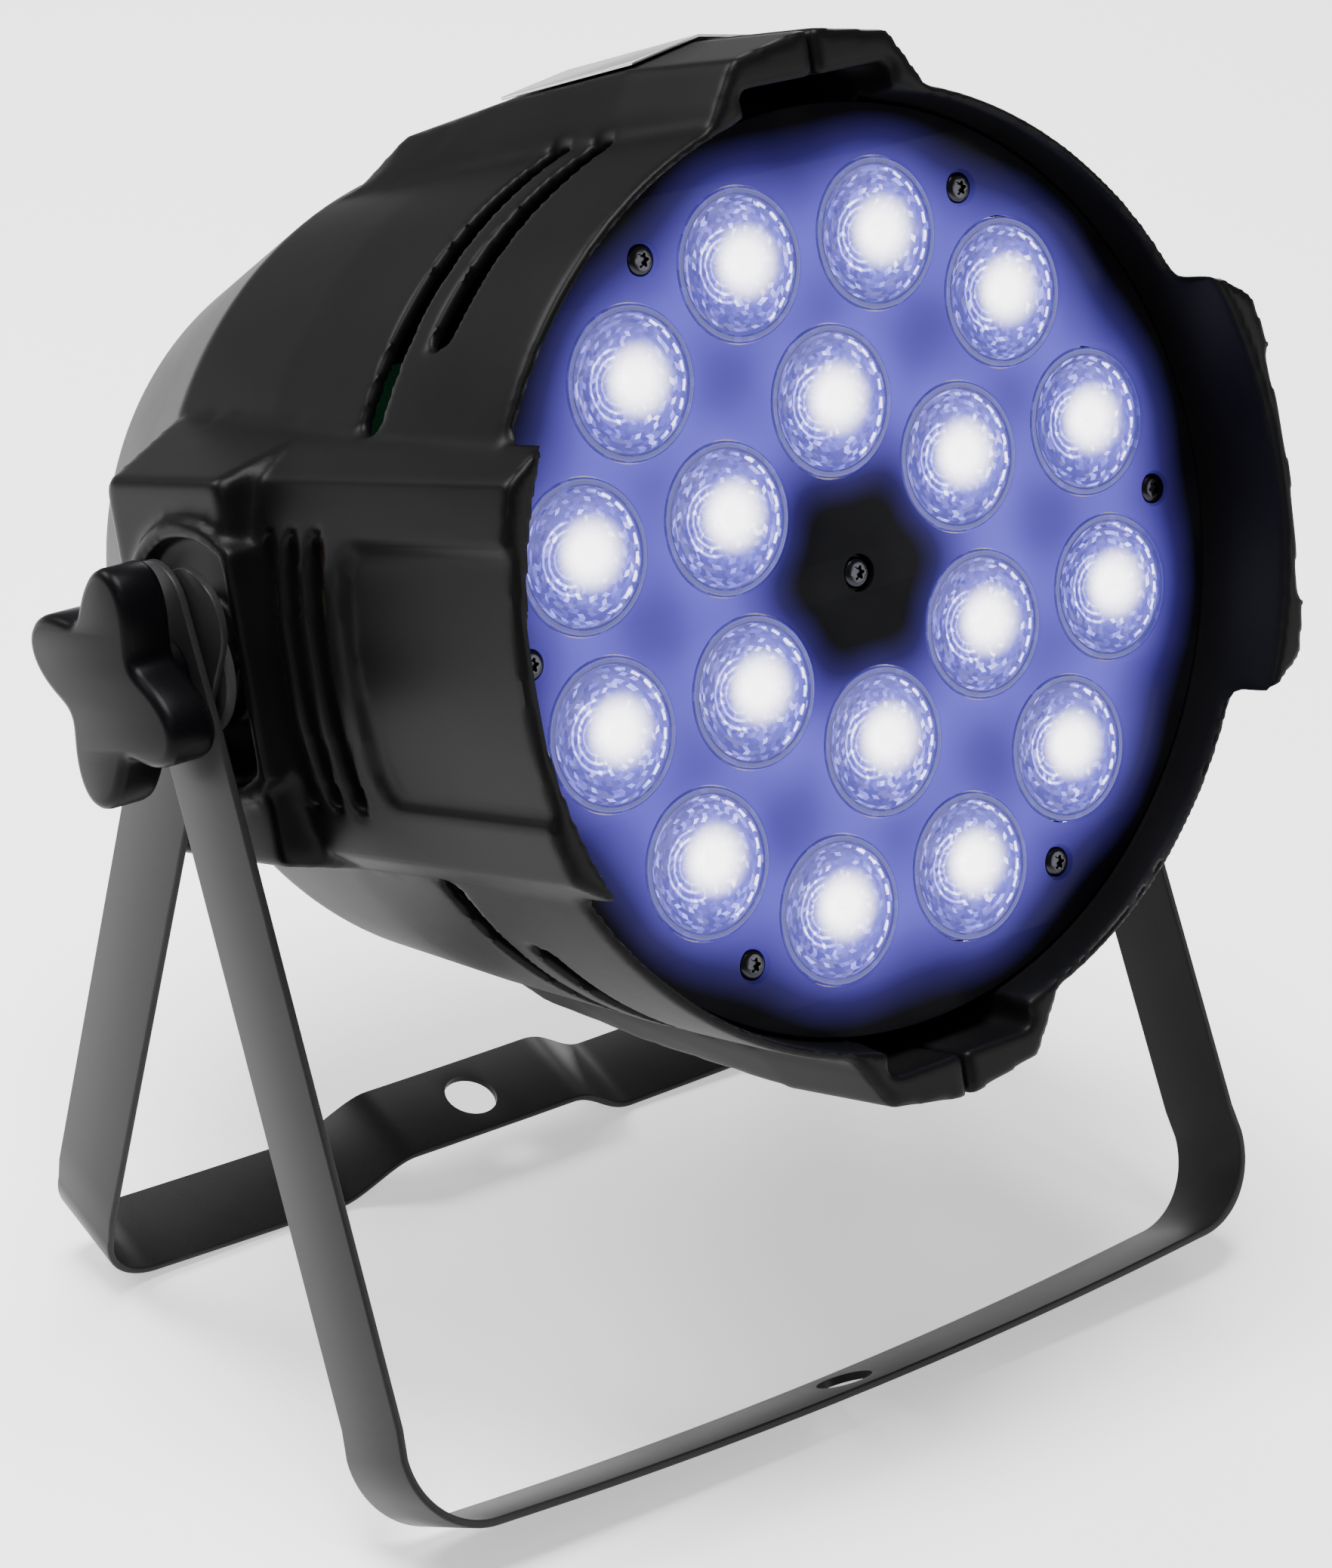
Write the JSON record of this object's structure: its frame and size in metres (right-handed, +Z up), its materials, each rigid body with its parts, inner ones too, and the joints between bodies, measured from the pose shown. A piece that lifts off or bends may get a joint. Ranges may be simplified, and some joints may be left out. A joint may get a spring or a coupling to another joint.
{
  "type": "par can light",
  "caption": "Stage par can: a black clamshell barrel with a gloss face of round lit lenses, held between two nested pivoting flat-bar brackets with star knobs.",
  "frame": {"origin": "centre of the footprint on the floor", "axes": "+Z up, -Y out of the lit face, +X along the pivot axis, to the right when looking into the lit face"},
  "size_m": [0.297, 0.2834, 0.3387],
  "materials": {
    "shell": "satin moulded black, fine even grain",
    "panel": "polished black sheet",
    "lens": "clear moulded optic, lit cold blue-white",
    "screw": "black oxide",
    "label": "blank silver foil plate",
    "painted_steel": "black powder coat, satin",
    "knob": "moulded black, dull",
    "alloy": "as extruded",
    "board": "cream laminate",
    "green_board": "solder resist",
    "dark_plastic": "moulded black",
    "screen": "smoked window",
    "blue_socket": "moulded blue",
    "grey_socket": "moulded light grey",
    "zinc": "bright zinc",
    "rubber": "friction washer",
    "cable_rubber": "sheathed cable",
    "red_wire": "insulated wire"
  },
  "bodies": {
    "can": {"shell_left": "shell", "shell_right": "shell", "label_plate": "label", "face_panel": "panel", "led_board": "board", "heat_sink": "alloy", "fan_frame": "dark_plastic", "power_board": "board", "driver_board": "green_board", "control_board": "green_board", "rear_panel": "painted_steel", "display": "screen", "power_inlet": "blue_socket", "power_outlet": "grey_socket", "dmx_in": "zinc", "dmx_out": "zinc", "fuse_holder": "dark_plastic", "safety_eye": "zinc", "led_cable": "red_wire", "mains_cable": "cable_rubber", "washer_left": "rubber", "washer_right": "rubber", "lens_outer_01": "lens", "lens_outer_02": "lens", "lens_outer_03": "lens", "lens_outer_04": "lens", "lens_outer_05": "lens", "lens_outer_06": "lens", "lens_outer_07": "lens", "lens_outer_08": "lens", "lens_outer_09": "lens", "lens_outer_10": "lens", "lens_outer_11": "lens", "lens_outer_12": "lens", "lens_inner_01": "lens", "lens_inner_02": "lens", "lens_inner_03": "lens", "lens_inner_04": "lens", "lens_inner_05": "lens", "lens_inner_06": "lens", "face_screw_1": "screw", "face_screw_2": "screw", "face_screw_3": "screw", "face_screw_4": "screw", "face_screw_5": "screw", "face_screw_6": "screw", "face_screw_7": "screw"},
    "front_bracket": {"front_bracket": "painted_steel"},
    "rear_bracket": {"rear_bracket": "painted_steel"},
    "knob_left": {"knob_left": "knob", "bolt_left": "zinc"},
    "knob_right": {"knob_right": "knob", "bolt_right": "zinc"},
    "fan_rotor": {"fan_rotor": "dark_plastic"},
    "fuse_cap": {"fuse_cap": "knob"},
    "menu_button_1": {"menu_button_1": "knob"},
    "menu_button_2": {"menu_button_2": "knob"},
    "menu_button_3": {"menu_button_3": "knob"},
    "menu_button_4": {"menu_button_4": "knob"}
  },
  "joints": [
    {"name": "front_bracket_swing", "type": "hinge", "parent": "can", "child": "front_bracket", "pos_m": [0, -0.00456, 0.19192], "axis": [1, 0, 0], "range_deg": [-150, 45]},
    {"name": "rear_bracket_swing", "type": "hinge", "parent": "can", "child": "rear_bracket", "pos_m": [0, -0.00456, 0.19192], "axis": [1, 0, 0], "range_deg": [-45, 160]},
    {"name": "knob_left_turn", "type": "hinge", "parent": "can", "child": "knob_left", "pos_m": [-0.14, -0.00456, 0.19192], "axis": [-1, 0, 0], "range_deg": [0, 300]},
    {"name": "knob_right_turn", "type": "hinge", "parent": "can", "child": "knob_right", "pos_m": [0.14, -0.00456, 0.19192], "axis": [1, 0, 0], "range_deg": [0, 300]},
    {"name": "fan_spin", "type": "hinge", "parent": "can", "child": "fan_rotor", "pos_m": [0, -0.0174, 0.19321], "axis": [0, 0.9497, -0.3132], "continuous": true},
    {"name": "fuse_cap_turn", "type": "hinge", "parent": "can", "child": "fuse_cap", "pos_m": [0, 0.10547, 0.13795], "axis": [0, 0.9497, -0.3132], "range_deg": [0, 90]},
    {"name": "menu_button_1_press", "type": "slide", "parent": "can", "child": "menu_button_1", "axis": [0, -0.9497, 0.3132], "range_m": [0, 0.0008], "stiffness_N_per_m": 600, "springref_m": -0.001},
    {"name": "menu_button_2_press", "type": "slide", "parent": "can", "child": "menu_button_2", "axis": [0, -0.9497, 0.3132], "range_m": [0, 0.0008], "stiffness_N_per_m": 600, "springref_m": -0.001},
    {"name": "menu_button_3_press", "type": "slide", "parent": "can", "child": "menu_button_3", "axis": [0, -0.9497, 0.3132], "range_m": [0, 0.0008], "stiffness_N_per_m": 600, "springref_m": -0.001},
    {"name": "menu_button_4_press", "type": "slide", "parent": "can", "child": "menu_button_4", "axis": [0, -0.9497, 0.3132], "range_m": [0, 0.0008], "stiffness_N_per_m": 600, "springref_m": -0.001}
  ]
}
